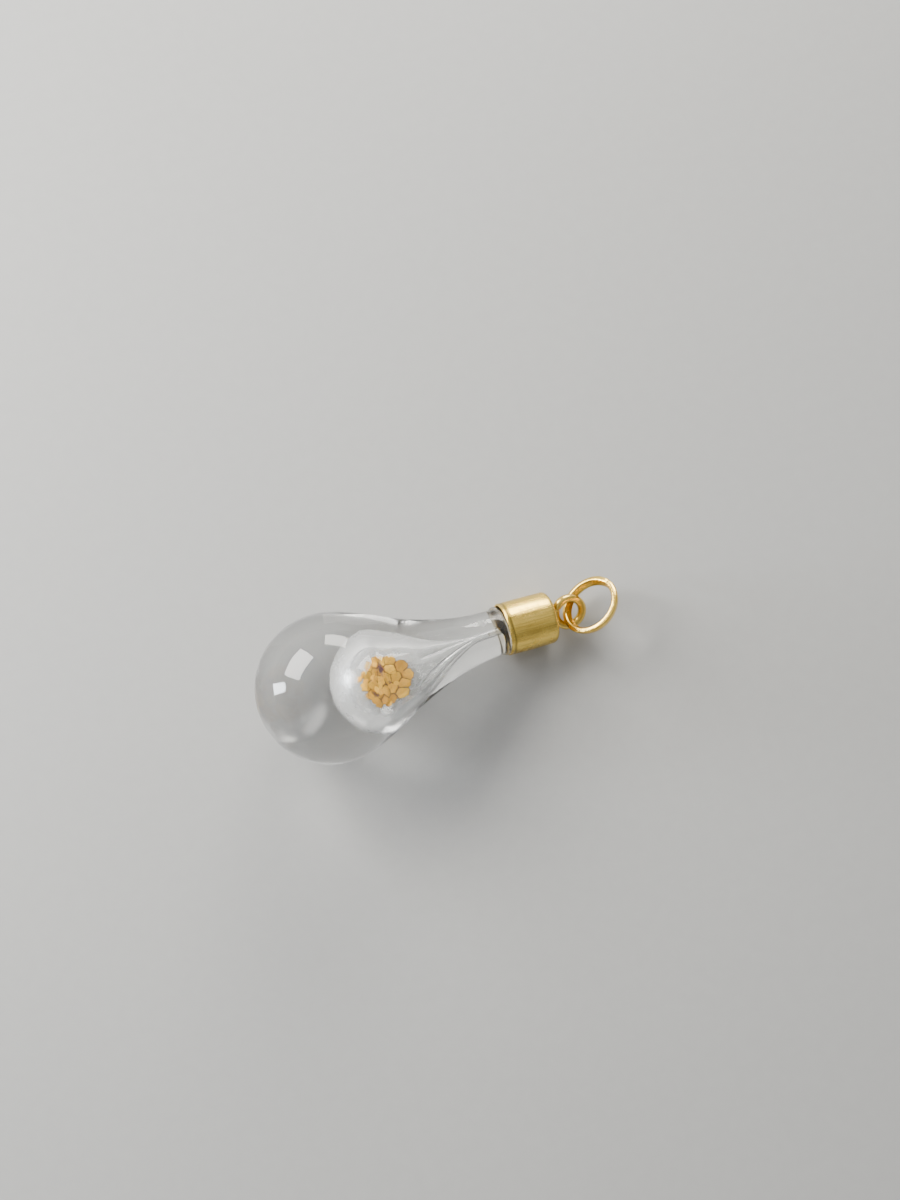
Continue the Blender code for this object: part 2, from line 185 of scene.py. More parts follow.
def arc(centre_x, centre_r, radius, start_deg, end_deg, steps):
    """Points of a circle in the (x, r) half plane, 0 degrees towards +x."""
    angle = np.radians(np.linspace(start_deg, end_deg, steps))
    return np.stack([centre_x + radius * np.cos(angle), centre_r + radius * np.sin(angle)], axis=1)


def around(count):
    return np.linspace(0.0, 2 * np.pi, count, endpoint=False)


def lathe_points(outline, count, origin, axes, swell=None):
    """An (x, r) outline in mm turned about a line: x runs along it, r + swell(x, r, angle) round it."""
    angle = around(count)[None, :]
    x = outline[:, :1] + 0.0 * angle
    r = outline[:, 1:] + 0.0 * angle
    if swell is not None:
        r = r + swell(x, r, angle)
    local = np.stack([x, r * np.cos(angle), r * np.sin(angle)], axis=-1) * MM
    return origin + local.reshape(-1, 3) @ axes


def sweep(path, normal, section, closed):
    """A closed (out, up) section carried along a path: out is away from the bend, up along normal."""
    if closed:
        tangent = np.roll(path, -1, axis=0) - np.roll(path, 1, axis=0)
    else:
        tangent = np.gradient(path, axis=0)
    tangent /= np.linalg.norm(tangent, axis=1)[:, None]
    up = normal - (tangent @ normal)[:, None] * tangent
    up /= np.linalg.norm(up, axis=1)[:, None]
    out = np.cross(tangent, up)
    rows = path[:, None, :] + section[..., :1] * out[:, None, :] + section[..., 1:] * up[:, None, :]
    return rows.reshape(-1, 3)


# ------------------------------------------------------------
# Sizes and colours that a user would change

def colour(name, description, default):
    return bpy.props.FloatVectorProperty(
        name=name, description=description, default=default, subtype="COLOR", size=3, min=0.0, max=1.0
    )


def amount(name, description, default, low=0.0, high=1.0, subtype="FACTOR", digits=3):
    return bpy.props.FloatProperty(
        name=name, description=description, default=default, min=low, max=high,
        subtype=subtype, precision=digits,
    )


def whole_number(name, description, default, high):
    return bpy.props.IntProperty(name=name, description=description, default=default, min=0, max=high)


def angle_amount(name, description, degrees, low_degrees, high_degrees):
    low, default, high = (math.radians(value) for value in (low_degrees, degrees, high_degrees))
    return amount(name, description, default, low, high, "ANGLE")


class VialGlassSettings(bpy.types.PropertyGroup):
    tint: colour("Tint", "Colour of the clear glass", (0.985, 0.992, 0.99))
    chamber_haze: amount("Chamber haze", "Roughness of the bloom on the chamber's wall", 0.30)
    fold_depth: amount("Fold depth", "Depth of the folds in the funnel, as a part of its radius", 0.22)
    folds: whole_number("Folds", "Number of folds round the funnel", 7, 20)
    resin: colour("Resin", "Colour of the neck plug", (0.95, 0.92, 0.84))
    glue: colour("Glue", "Colour of the adhesive at the cap's rim", (0.95, 0.90, 0.80))


class VialMetalSettings(bpy.types.PropertyGroup):
    brass: colour("Brass", "Colour of the cap", (0.94, 0.66, 0.14))
    wire: colour("Wire", "Colour of the eye and the jump ring", (0.94, 0.66, 0.17))
    solder: colour("Solder", "Colour of the solder", (0.55, 0.43, 0.24))
    brushing: amount("Brushing", "Strength of the lines along the cap", 0.55)


class VialGoldSettings(bpy.types.PropertyGroup):
    leaf: colour("Leaf", "Colour of the flakes", (1.0, 0.47, 0.02))
    # This colour is painted shade, laid at the rims of the flakes and crumbs.
    painted_rim_shade: colour("Painted Rim Shade", "Colour in the folds of the flakes", (0.16, 0.045, 0.015))
    crumple: amount("Crumple", "Height of the crumples", 0.045 * MM, 0.0, 0.2 * MM, "DISTANCE", 6)
    crumbs: whole_number("Crumbs", "Number of small crumbs", 22, 400)


class VialStageSettings(bpy.types.PropertyGroup):
    floor: colour("Floor", "Colour of the floor", (0.36, 0.36, 0.352))
    elevation: angle_amount("Elevation", "Height of the camera above the horizon", 80.0, 0.0, 89.0)
    azimuth: angle_amount("Azimuth", "Direction of the camera round the vial", -110.6, -180.0, 180.0)
    distance: amount("Distance", "Distance of the camera", 0.15, 0.05, 2.0, "DISTANCE")
    key_power: amount("Window", "Strength of the window light", 1.3, 0.0, 10.0, "POWER")


# ------------------------------------------------------------
# Material helpers

def new_material(name):
    """A material with one Principled shader; returns (material, nodes, links, shader)."""
    material = bpy.data.materials.new(name)
    material.use_nodes = True
    nodes = material.node_tree.nodes
    return material, nodes, material.node_tree.links, nodes["Principled BSDF"]


def node(nodes, kind, **values):
    """Adds a node and sets its plain properties and, by socket name, its inputs."""
    made = nodes.new(kind)
    for key, value in values.items():
        if key in made.inputs:
            made.inputs[key].default_value = value
        else:
            setattr(made, key, value)
    return made


def noise(nodes, links, where, scale, detail=4.0, roughness=0.55):
    made = node(nodes, "ShaderNodeTexNoise", Scale=scale, Detail=detail, Roughness=roughness)
    links.new(where, made.inputs["Vector"])
    return made.outputs["Fac"]


def ramp(nodes, links, source, stops):
    """A colour ramp; stops are (place, grey or colour)."""
    made = nodes.new("ShaderNodeValToRGB")
    elements = made.color_ramp.elements
    while len(elements) < len(stops):
        elements.new(0.5)
    for element, (place, tone) in zip(elements, stops):
        element.position = place
        element.color = (tone, tone, tone, 1.0) if isinstance(tone, float) else (*tone, 1.0)
    links.new(source, made.inputs["Fac"])
    return made.outputs["Color"]


def scaled(nodes, links, source, factor, offset=0.0):
    made = node(nodes, "ShaderNodeMath", operation="MULTIPLY_ADD")
    links.new(source, made.inputs[0])
    made.inputs[1].default_value = factor
    made.inputs[2].default_value = offset
    return made.outputs[0]


def bump(nodes, links, height, distance, strength=1.0, after=None):
    made = node(nodes, "ShaderNodeBump", Strength=strength, Distance=distance)
    links.new(height, made.inputs["Height"])
    if after is not None:
        links.new(after, made.inputs["Normal"])
    return made.outputs["Normal"]


def object_coordinates(nodes):
    return nodes.new("ShaderNodeTexCoord").outputs["Object"]


def attribute(nodes, name):
    return node(nodes, "ShaderNodeAttribute", attribute_name=name).outputs["Fac"]


def wear_group():
    """A shared node group: soft blotches and fine specks, as a mask of handling marks."""
    name = "Handling Marks"
    if name in bpy.data.node_groups:
        return bpy.data.node_groups[name]
    group = bpy.data.node_groups.new(name, "ShaderNodeTree")
    group.interface.new_socket("Vector", in_out="INPUT", socket_type="NodeSocketVector")
    floats = {"Blotch Scale": "INPUT", "Speck Scale": "INPUT", "Blotches": "OUTPUT", "Specks": "OUTPUT"}
    for socket, way in floats.items():
        group.interface.new_socket(socket, in_out=way, socket_type="NodeSocketFloat")
    nodes, links = group.nodes, group.links
    inputs = nodes.new("NodeGroupInput")
    outputs = nodes.new("NodeGroupOutput")
    blotch = node(nodes, "ShaderNodeTexNoise", Detail=3.0, Roughness=0.6)
    links.new(inputs.outputs["Vector"], blotch.inputs["Vector"])
    links.new(inputs.outputs["Blotch Scale"], blotch.inputs["Scale"])
    blotches = ramp(nodes, links, blotch.outputs["Fac"], [(0.38, 0.0), (0.72, 1.0)])
    links.new(blotches, outputs.inputs["Blotches"])
    speck = node(nodes, "ShaderNodeTexVoronoi")
    links.new(inputs.outputs["Vector"], speck.inputs["Vector"])
    links.new(inputs.outputs["Speck Scale"], speck.inputs["Scale"])
    specks = ramp(nodes, links, speck.outputs["Distance"], [(0.08, 1.0), (0.2, 0.0)])
    links.new(specks, outputs.inputs["Specks"])
    return group


def handling_marks(nodes, links, where, blotch_scale, speck_scale):
    """Places the shared group; returns its (blotches, specks) sockets."""
    made = nodes.new("ShaderNodeGroup")
    made.node_tree = wear_group()
    links.new(where, made.inputs["Vector"])
    made.inputs["Blotch Scale"].default_value = blotch_scale
    made.inputs["Speck Scale"].default_value = speck_scale
    return made.outputs["Blotches"], made.outputs["Specks"]


# ------------------------------------------------------------
# Materials

def mixed(nodes, links, factor, first, second):
    """A colour between two, each a plain colour or a socket."""
    mix = node(nodes, "ShaderNodeMix", data_type="RGBA")
    links.new(factor, mix.inputs["Factor"])
    for value, socket in ((first, mix.inputs[6]), (second, mix.inputs[7])):
        if isinstance(value, bpy.types.NodeSocket):
            links.new(value, socket)
        else:
            socket.default_value = (*value, 1.0)
    return mix.outputs[2]


def calculated(nodes, links, operation, first, second):
    made = node(nodes, "ShaderNodeMath", operation=operation)
    for value, socket in ((first, made.inputs[0]), (second, made.inputs[1])):
        if isinstance(value, bpy.types.NodeSocket):
            links.new(value, socket)
        else:
            socket.default_value = value
    return made.outputs[0]


def shade(tint, *factors):
    """A colour times one factor, or times one for each of red, green and blue."""
    return tuple(min(1.0, c * f) for c, f in zip(tint, factors * (3 // len(factors))))


def clear_glass(tint, haze):
    """Polished glass with a mottled bloom where its attribute says so, faint dust and a soft ripple."""
    material, nodes, links, shader = new_material("flame_worked_glass")
    where = object_coordinates(nodes)
    shader.inputs["Base Color"].default_value = (*tint, 1.0)
    shader.inputs["Transmission Weight"].default_value = 1.0
    shader.inputs["IOR"].default_value = 1.5
    blotches, specks = handling_marks(nodes, links, where, 1500.0, 5200.0)
    bloom = attribute(nodes, "bloom")
    mottled = calculated(nodes, links, "MULTIPLY", bloom, scaled(nodes, links, blotches, haze, 0.35 * haze))
    dusty = calculated(nodes, links, "MULTIPLY", specks, 0.012)
    links.new(calculated(nodes, links, "ADD", mottled, dusty), shader.inputs["Roughness"])
    ripple = noise(nodes, links, where, 240.0, 2.0)
    soft = bump(nodes, links, ripple, 0.00005, 0.5)
    frost = calculated(nodes, links, "MULTIPLY", bloom, noise(nodes, links, where, 2600.0, 4.0, 0.7))
    links.new(bump(nodes, links, frost, 0.00006, 0.5, soft), shader.inputs["Normal"])
    return material


def cured_resin(name, tint, cloud, roughness):
    """Clear resin with small clouds and bubbles in its surface."""
    material, nodes, links, shader = new_material(name)
    where = object_coordinates(nodes)
    shader.inputs["Transmission Weight"].default_value = 1.0
    shader.inputs["IOR"].default_value = 1.48
    clouds = noise(nodes, links, where, 1400.0, 3.0)
    links.new(mixed(nodes, links, clouds, tint, shade(tint, cloud)), shader.inputs["Base Color"])
    links.new(scaled(nodes, links, clouds, 0.3, roughness), shader.inputs["Roughness"])
    bubbles = node(nodes, "ShaderNodeTexVoronoi", Scale=2600.0)
    links.new(where, bubbles.inputs["Vector"])
    links.new(bump(nodes, links, bubbles.outputs["Distance"], 0.00005, 0.4), shader.inputs["Normal"])
    return material


# Painted highlight where the fine lines of the cap catch the light, and dirt in the hollows of the leaf
LINE_SHINE = (1.0, 0.76, 0.22)
LEAF_STAIN = (0.16, 0.06, 0.09)


def brushed_brass(tint, brushing):
    """Gold-coloured brass with fine lines along the cap, painted darker and lighter along them, and with
    painted shade in the groove by its lip, inside its end wall and towards its rounded end.
    """
    material, nodes, links, shader = new_material("brushed_gold_brass")
    shader.inputs["Metallic"].default_value = 1.0
    drawn = node(nodes, "ShaderNodeAttribute", attribute_name="lay").outputs["Vector"]
    fine = noise(nodes, links, drawn, 26.0, 4.0, 0.7)
    broad = noise(nodes, links, drawn, 7.0, 3.0, 0.6)
    where = object_coordinates(nodes)
    blotches, specks = handling_marks(nodes, links, where, 1300.0, 3800.0)
    # Painted shade and highlight along the brushed lines: a darker tint, the tint, then the painted
    # highlight.
    lines = ramp(nodes, links, fine, [(0.34, shade(tint, 0.62)), (0.5, tint), (0.68, LINE_SHINE)])
    warm = mixed(nodes, links, scaled(nodes, links, broad, 0.3), lines, shade(tint, 1.0, 0.88, 0.66))
    # Painted shade: darker in the groove by the lip, inside the end wall and towards the rounded end, as the
    # cap's attribute says.
    painted_shade = mixed(nodes, links, attribute(nodes, "painted_shade"), warm, shade(tint, 0.34))
    speckled = mixed(nodes, links, scaled(nodes, links, specks, 0.4), painted_shade, shade(tint, 0.3))
    links.new(speckled, shader.inputs["Base Color"])
    links.new(scaled(nodes, links, blotches, 0.12, 0.2), shader.inputs["Roughness"])
    links.new(bump(nodes, links, fine, 0.00003, brushing), shader.inputs["Normal"])
    return material


def drawn_wire(name, tint):
    """Gold-plated wire with long draw marks, small dents and painted shade on the side that faces into the
    bend.
    """
    material, nodes, links, shader = new_material(name)
    shader.inputs["Metallic"].default_value = 1.0
    where = object_coordinates(nodes)
    drawn = node(nodes, "ShaderNodeAttribute", attribute_name="lay").outputs["Vector"]
    marks = noise(nodes, links, drawn, 9.0, 4.0, 0.65)
    blotches, specks = handling_marks(nodes, links, where, 1500.0, 4600.0)
    base = mixed(nodes, links, blotches, tint, shade(tint, 0.92, 0.84, 0.6))
    uneven = scaled(nodes, links, marks, 0.5, 0.5)
    # Painted shade on the side of the wire that faces into the bend, made uneven by the draw marks.
    painted_inner_shade = calculated(nodes, links, "MULTIPLY", attribute(nodes, "inner"), uneven)
    inner_shaded = mixed(nodes, links, painted_inner_shade, base, shade(tint, 0.60, 0.54, 0.2))
    speckled = mixed(nodes, links, scaled(nodes, links, specks, 0.5), inner_shaded, shade(tint, 0.35))
    links.new(speckled, shader.inputs["Base Color"])
    links.new(scaled(nodes, links, marks, 0.22, 0.13), shader.inputs["Roughness"])
    dents = noise(nodes, links, where, 2000.0, 3.0)
    dented = bump(nodes, links, dents, 0.00004, 0.35)
    links.new(bump(nodes, links, marks, 0.00002, 0.3, dented), shader.inputs["Normal"])
    return material


def gold_leaf(leaf, painted_rim_shade):
    """Crumpled gold: each flake has its own tone, with painted shade at its rim, in the gaps between the
    flakes, and in a noise pattern of folds.
    """
    material, nodes, links, shader = new_material("gold_flake_leaf")
    shader.inputs["Metallic"].default_value = 0.3
    where = object_coordinates(nodes)
    grain = noise(nodes, links, where, 3400.0, 5.0, 0.65)
    stain = noise(nodes, links, where, 620.0, 2.0, 0.5)
    tone = attribute(nodes, "tone")
    base = mixed(nodes, links, tone, shade(leaf, 0.82), shade(leaf, 1.0, 1.2, 1.8))
    # Painted shade in the folds: where the grain noise is high the leaf is darkened towards half its colour.
    folds = ramp(nodes, links, grain, [(0.54, 0.0), (0.72, 0.7)])
    fold_shaded = mixed(nodes, links, folds, base, shade(leaf, 0.5))
    # Painted shade at each flake's rim, in the gaps between the flakes.
    edge = ramp(nodes, links, attribute(nodes, "rim"), [(0.86, 0.0), (0.98, 1.0)])
    rim_shaded = mixed(nodes, links, edge, fold_shaded, painted_rim_shade)
    spots = ramp(nodes, links, stain, [(0.64, 0.0), (0.70, 0.9)])
    links.new(mixed(nodes, links, spots, rim_shaded, LEAF_STAIN), shader.inputs["Base Color"])
    links.new(scaled(nodes, links, grain, 0.3, 0.34), shader.inputs["Roughness"])
    links.new(bump(nodes, links, grain, 0.00005, 0.6), shader.inputs["Normal"])
    return material


# ------------------------------------------------------------
# Glass, resin and adhesive

BULB_R = 6.0
SPHERE_END_X = 1.8
SHOULDER = [
    (3.2, 5.22), (4.75, 4.56), (6.45, 3.73), (8.1, 3.08),
    (9.85, 2.53), (11.3, 2.18), (12.7, 1.98), (14.3, 1.84),
]
NECK_TIP = [(15.2, 1.76), (17.05, 1.68)]
NECK_END_X = 17.2
CHAMBER_R = 2.83
CHAMBER_END_X = 3.7
FUNNEL = [(5.2, 2.2), (6.3, 1.84), (7.4, 1.43), (8.5, 1.04), (9.8, 0.63), (10.9, 0.38), (12.3, 0.2)]
BORE_R = 0.2
CENTRING_X = (6.5, 13.0)
GLASS_STEPS = 192
FOLDS_X = (5.6, 9.0)
FOLDS_END_X = (11.4, 12.4)
PLUG_X = (13.4, 16.9)
GLUE_X = (14.26, 16.9)
GLUE_R = 2.03


def ease(t):
    """A smooth step from 0 to 1, flat at both ends."""
    t = np.clip(t, 0.0, 1.0)
    return t * t * (3.0 - 2.0 * t)


def bump_at(value, middle, half_width):
    """1 at the middle, easing to 0 half_width away on either side."""
    return ease(1.0 - np.abs(value - middle) / half_width)


def glass_outline():
    """(x, r) of the outside from pole to neck tip, and of the inside from the bore to the chamber's pole."""
    turn_out = math.degrees(math.acos(SPHERE_END_X / BULB_R))
    bulb = arc(0.0, 0.0, BULB_R, 180.0, turn_out, 70)
    neck = hermite([tuple(bulb[-1])] + SHOULDER + NECK_TIP, 9, -SPHERE_END_X / bulb[-1][1], -0.02)[1:]
    end = [(NECK_END_X, r) for r in (1.52, 1.0, 0.28)]
    tip = np.array([NECK_TIP[-1], (17.15, 1.62), *end])
    bore = np.stack([np.linspace(17.16, 12.35, 40), np.full(40, BORE_R)], axis=1)
    turn_in = math.degrees(math.acos((CHAMBER_END_X - CHAMBER_X) / CHAMBER_R))
    chamber = arc(CHAMBER_X, 0.0, CHAMBER_R, 180.0, turn_in, 50)
    slope = -(CHAMBER_END_X - CHAMBER_X) / chamber[-1][1]
    funnel = hermite([tuple(chamber[-1])] + FUNNEL, 12, slope, 0.0)[1:]
    outer = np.concatenate([bulb, neck, tip])
    inner = np.concatenate([bore, funnel[::-1], chamber[::-1]])
    return outer, inner


def funnel_folds(x, angle, depth, count):
    """How far the funnel's wall stands in, as a part of its radius.

    Sharp folds run along it, |sin| of the angle round it, and turn slowly with x; they begin behind the
    chamber and fade into the bore."""
    begin = ease((x - FOLDS_X[0]) / (FOLDS_X[1] - FOLDS_X[0]))
    fade = ease((FOLDS_END_X[1] - x) / (FOLDS_END_X[1] - FOLDS_END_X[0]))
    turn = angle + 0.13 * (x - 6.0) + 0.35
    crease = 1.0 - np.abs(np.sin(0.5 * count * turn + 0.5 * np.sin(2.0 * turn)))
    return begin * fade * depth * crease**2.2


def make_glass(settings):
    """Turns the outline about the vial's axis; the inside is moved sideways by the chamber's own offset."""
    outer, inner = glass_outline()
    outline = np.concatenate([outer, inner])
    body = outline[1:-1]
    angle = around(GLASS_STEPS)[None, :]
    x = body[:, :1] + 0.0 * angle
    r = body[:, 1:] + 0.0 * angle
    inside = np.zeros_like(x)
    inside[len(outer) - 1:] = 1.0
    r = r * (1.0 - inside * funnel_folds(x, angle, settings.fold_depth, settings.folds))
    low, high = CENTRING_X
    side = inside * CHAMBER_SIDE * (1.0 - ease((x - low) / (high - low)))
    local = np.stack([x, side + r * np.cos(angle), r * np.sin(angle)], axis=-1).reshape(-1, 3)
    poles = np.array([[outline[0, 0], 0.0, 0.0], [outline[-1, 0], CHAMBER_SIDE, 0.0]])
    local = np.vstack([local, poles])
    faces, fans = closed_faces(len(body), GLASS_STEPS)
    mesh = build_mesh("glass_body", VIAL_ORIGIN + local * MM @ VIAL_AXES, faces, fans)
    upward = r * np.sin(angle - math.radians(100.0) + math.pi / 2) / CHAMBER_R
    window = ease((upward + 0.05) / 0.6) * ease((x - 0.7) / 1.2)
    wall = inside * (1.0 - 0.92 * window) * ease((10.5 - x) / 4.0)
    smear = (1.0 - inside) * bump_at(x, 12.9, 0.75) * bump_at(angle, math.radians(62.0), math.radians(36.0))
    folds = inside * funnel_folds(x, angle, 1.0, settings.folds)
    bloom = wall + 1.6 * smear + 0.7 * folds
    point_values(mesh, "bloom", np.concatenate([bloom.ravel(), [0.0, 1.0]]))
    material = clear_glass(settings.tint, settings.chamber_haze)
    return finish_piece("glass_body", mesh, material, "vial", "clear_glass", "glass_vial", sharp_deg=50)


def closed_faces(rows, columns):
    """Faces of a turned body of rows rings whose two poles are the last two points."""
    ring = np.arange(columns)
    following = np.roll(ring, -1)
    first = np.stack([np.full(columns, rows * columns), following, ring], axis=1)
    last = (rows - 1) * columns
    second = np.stack([np.full(columns, rows * columns + 1), last + ring, last + following], axis=1)
    return quads(rows, columns, wrap_columns=True), np.vstack([first, second])


def closed_turning(outline, columns, origin, axes, swell=None):
    """Points and faces of an (x, r) outline turned about its axis, its two ends on the axis."""
    body = outline[1:-1]
    points = lathe_points(body, columns, origin, axes, swell)
    poles = np.array([[outline[0, 0], 0.0, 0.0], [outline[-1, 0], 0.0, 0.0]])
    return np.vstack([points, origin + poles * MM @ axes]), *closed_faces(len(body), columns)


def make_plug(settings):
    """The thread of resin in the bore: a turned outline with a hollow front, its side a small cosine of x."""
    r = BORE_R - 0.02
    start, stop = PLUG_X
    front = [(0.06, 0.0), (0.05, 0.06), (0.02, 0.12), (0.0, r - 0.02), (0.02, r)]
    front = [(start + x, front_r) for x, front_r in front]
    side = [(x, r - 0.006 + 0.006 * math.cos(5.0 * x)) for x in np.linspace(start + 0.1, stop - 0.06, 60)]
    outline = np.array(front + side + [(stop - 0.02, r - 0.03), (stop, 0.08), (stop, 0.0)])
    points, faces, fans = closed_turning(outline, 32, VIAL_ORIGIN, VIAL_AXES)
    mesh = build_mesh("resin_plug", points, faces, fans)
    material = cured_resin("neck_resin", tuple(settings.resin), 0.9, 0.05)
    return finish_piece("resin_plug", mesh, material, "vial", "clear_resin", "neck_plug", sharp_deg=50)


def neck_radius(x):
    stations = np.array(SHOULDER[-3:] + NECK_TIP)
    return np.interp(x, stations[:, 0], stations[:, 1])


def make_adhesive(settings):
    """The glue: a ragged film on the neck that rises to a bead at the cap's rim and ends inside the cap.

    Its thickness is a function of the distance t from the ragged front to the end of the sleeve."""
    rows, columns = 46, 144
    angle = around(columns)[None, :]
    front = GLUE_X[0] + 0.06 * np.sin(3 * angle + 0.7) + 0.04 * np.sin(7 * angle)
    front = front - 0.5 * bump_at(angle, 1.15, 0.9)
    t = np.linspace(0.0, 1.0, rows)[:, None]
    x = front + (GLUE_X[1] - front) * t
    bead = 0.17 + 0.04 * np.sin(2 * angle + 2.4) + 0.03 * np.sin(5 * angle)
    rise = ease((x - front) / (14.6 - front)) * ease((14.78 - x) / 0.16 + 0.45)
    thickness = 0.01 + 0.02 * ease((x - front) / 0.3) + bead * rise * (x < 14.9)
    inner_r = neck_radius(x) + 0.015
    edge = np.sin(np.pi * np.clip(t * 12.0, 0.0, 0.5)) * np.sin(np.pi * np.clip((1.0 - t) * 12.0, 0.0, 0.5))
    outer_r = np.minimum(inner_r + 0.004 + thickness * edge, GLUE_R)
    outer = np.stack([x, outer_r * np.cos(angle), outer_r * np.sin(angle)], axis=-1)
    inner = np.stack([x, inner_r * np.cos(angle), inner_r * np.sin(angle)], axis=-1)[::-1]
    local = np.concatenate([outer, inner]).reshape(-1, 3)
    faces = quads(2 * rows, columns, wrap_rows=True, wrap_columns=True)
    mesh = build_mesh("glue_fillet", VIAL_ORIGIN + local * MM @ VIAL_AXES, faces)
    material = cured_resin("squeezed_glue", tuple(settings.glue), 0.8, 0.04)
    return finish_piece("glue_fillet", mesh, material, "vial", "clear_adhesive", "cap_adhesive", sharp_deg=60)


# ------------------------------------------------------------
# Cap, eye, solder and jump ring

CAP_R = 2.15
CAP_LENGTH = 4.2
CAP_CORNER_R = 0.32
EYE_R = 1.17
EYE_WIRE_R = 0.33
RING_R = 2.25
RING_OFFSET = (1.493, -0.243, 1.434)
RING_NORMAL = (-0.592, 0.438, 0.676)
RING_SEAM_DEG = 345.0
RING_BAND_HALF = (0.255, 0.375)
RING_LEAN_DEG = 22.0
RING_SEAM_GAP = 0.05
RING_SEAM_STEP = 0.16


def cap_outline():
    """(x, r) of the cap's wall: bore, rolled lip, groove, nearly straight side, rounded end and end wall."""
    lip = arc(0.09, 2.06, 0.09, 270.0, 90.0, 12)
    groove = [(0.24, 2.15), (0.29, 2.118), (0.35, 2.105), (0.41, 2.118), (0.46, 2.142)]
    side = [(x, CAP_R - 0.004 * (x - 2.1) ** 2) for x in np.linspace(0.55, 3.75, 28)]
    corner = arc(CAP_LENGTH - CAP_CORNER_R, CAP_R - 0.015 - CAP_CORNER_R, CAP_CORNER_R, 86.0, 0.0, 16)
    end = [(0.0, 1.7), (-0.012, 1.3), (0.0, 0.94), (-0.04, 0.9), (-0.04, 0.46), (-0.08, 0.41)]
    inside = [(-0.3, 0.41), (-0.35, 0.45), (-0.35, 1.6), (-0.42, 1.93)]
    from_end = np.array(end + inside) + np.array([CAP_LENGTH, 0.0])
    bore = [(x, 1.95) for x in np.linspace(3.6, 0.2, 12)]
    return np.concatenate([lip, groove, side, corner, from_end, bore])


def make_cap(settings):
    """Turns the cap's outline about its leaning axis, with slow dents r(x, angle) a few hundredths deep."""
    outline = cap_outline()
    columns = 224

    def dents(x, r, angle):
        soft = 0.010 * np.sin(2 * angle + 0.8 * x) + 0.006 * np.sin(5 * angle - 1.3 * x + 1.0)
        return soft * ease((r - 1.4) / 0.5)

    points = lathe_points(outline, columns, CAP_ORIGIN, CAP_AXES, dents)
    mesh = build_mesh("brass_cap", points, quads(len(outline), columns, wrap_rows=True, wrap_columns=True))
    angle = around(columns)[None, :]
    x = outline[:, :1] + 0.0 * angle
    lay = np.stack([0.012 * x, np.cos(angle) + 0.0 * x, np.sin(angle) + 0.0 * x], axis=-1)
    point_vectors(mesh, "lay", lay.reshape(-1, 3))
    # Painted shade for the brass: darker in the groove by the lip, towards the rounded end and inside the end
    # wall.
    outside = (outline[:, 1:] > 2.0) + 0.0 * angle
    groove = bump_at(x, 0.34, 0.16) * outside
    far_edge = ease((x - 3.75) / 0.4) * 0.35
    within = 1.0 - ease((outline[:, 1:] - 1.6) / 0.4) + 0.0 * angle
    point_values(mesh, "painted_shade", np.clip(0.95 * groove + far_edge + 0.3 * within, 0.0, 1.0))
    material = brushed_brass(tuple(settings.brass), settings.brushing)
    return finish_piece("brass_cap", mesh, material, "vial", "brushed_gold_brass", "end_cap", sharp_deg=35)


def superellipse(half_out, half_up, power, count):
    """A closed section |out / half_out| ** power + |up / half_up| ** power = 1."""
    angle = around(count)
    c, s = np.cos(angle), np.sin(angle)
    out = half_out * np.sign(c) * np.abs(c) ** (2.0 / power)
    up = half_up * np.sign(s) * np.abs(s) ** (2.0 / power)
    return np.stack([out, up], axis=1) * MM


def wire_values(mesh, rows, section, turns, extra=0):
    """Draw marks that run along the wire, and how far each point faces into the bend, which sets the wire's
    painted shade.
    """
    along = np.linspace(0.0, 1.0, rows)[:, None]
    around_section = section / np.abs(section).max()
    lay = np.stack(
        [
            0.25 * turns * np.sin(2 * np.pi * along) + 0.0 * around_section[:, 0],
            around_section[:, 0] + 0.0 * along,
            around_section[:, 1] + 0.0 * along,
        ],
        axis=-1,
    ).reshape(-1, 3)
    inner = np.clip(-around_section[:, 0] + 0.0 * along, 0.0, 1.0).ravel()
    point_vectors(mesh, "lay", np.vstack([lay, np.zeros((extra, 3))]))
    point_values(mesh, "inner", np.concatenate([inner, np.zeros(extra)]))


def make_eye(settings):
    """A ring of wire whose end is tucked against its own root, and the peg that goes into the cap.

    The centre line is a circle; the section narrows in a groove where the wire's end meets its start."""
    rows = 160
    angle = around(rows)
    along, across = CAP_AXES[0], EYE_ACROSS
    path = EYE_CENTRE + EYE_R * MM * (np.cos(angle)[:, None] * along + np.sin(angle)[:, None] * across)
    section = superellipse(EYE_WIRE_R, EYE_WIRE_R, 2.5, 40)
    groove = np.exp(-(((angle - math.radians(152.0)) / math.radians(3.0)) ** 2))
    thick = 1.0 - 0.30 * groove + 0.03 * np.sin(3 * angle + 1.0)
    rings = section[None, :, :] * thick[:, None, None]
    points = sweep(path, EYE_NORMAL, rings, closed=True)
    mesh = build_mesh("eye_ring", points, quads(rows, len(section), wrap_rows=True, wrap_columns=True))
    wire_values(mesh, rows, section, 3)
    gold = drawn_wire("gold_wire", tuple(settings.wire))
    ring = finish_piece("eye_ring", mesh, gold, "vial", "gold_wire", "eye_loop", sharp_deg=50)
    outline = [(3.05, 0.0), (3.05, 0.28), (3.1, 0.33), (3.6, 0.33), (4.35, 0.34), (4.6, 0.3), (4.73, 0.0)]
    points, faces, fans = closed_turning(np.array(outline), 40, CAP_ORIGIN, CAP_AXES)
    mesh = build_mesh("eye_peg", points, faces, fans)
    peg = finish_piece("eye_peg", mesh, gold, "vial", "gold_wire", sharp_deg=50)
    return ring, peg


